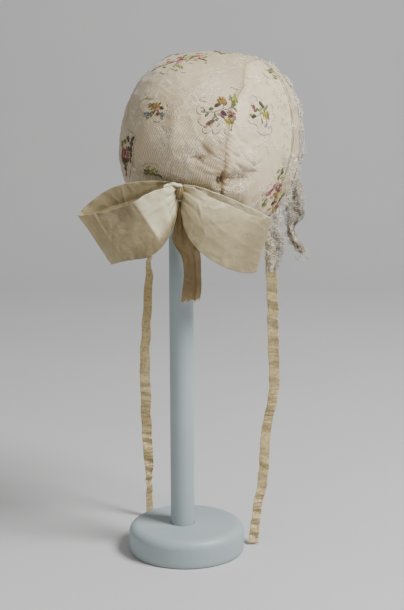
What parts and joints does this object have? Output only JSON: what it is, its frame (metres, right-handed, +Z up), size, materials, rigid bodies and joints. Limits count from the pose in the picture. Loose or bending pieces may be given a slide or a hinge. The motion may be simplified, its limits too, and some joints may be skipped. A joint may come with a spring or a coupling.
{
  "type": "baby bonnet on stand",
  "caption": "Figured silk baby bonnet with a ribbon bow at the nape, a lace edging and ribbon ties, held on a painted wooden stand.",
  "frame": {"origin": "on the axis of the stand's post, on the plane of the foot's flat underside", "axes": "+Z up along the post; the face opening looks along -Y, turned 7 degrees towards -X, and the bow is at the back on the +Y side; the wearer's right is -X"},
  "size_m": [0.1256, 0.1255, 0.3325],
  "materials": {
    "silk": "cream silk with a fine diagonal rib and small woven flower sprigs",
    "lace": "thin aged cotton net",
    "ribbon": "crisp ivory silk ribbon, slightly translucent",
    "paint": "wood under satin pale blue-grey paint"
  },
  "bodies": {
    "root": {"crown": "silk", "side_right": "silk", "side_left": "silk", "front_band": "silk", "lace_frill": "lace", "lace_fall": "lace", "lace_end": "lace", "bow_loop_left": "ribbon", "bow_loop_right": "ribbon", "bow_tail": "ribbon", "bow_gather": "ribbon", "tie_right": "ribbon", "tie_left": "ribbon", "stand_foot": "paint", "stand_post": "paint"}
  },
  "joints": []
}
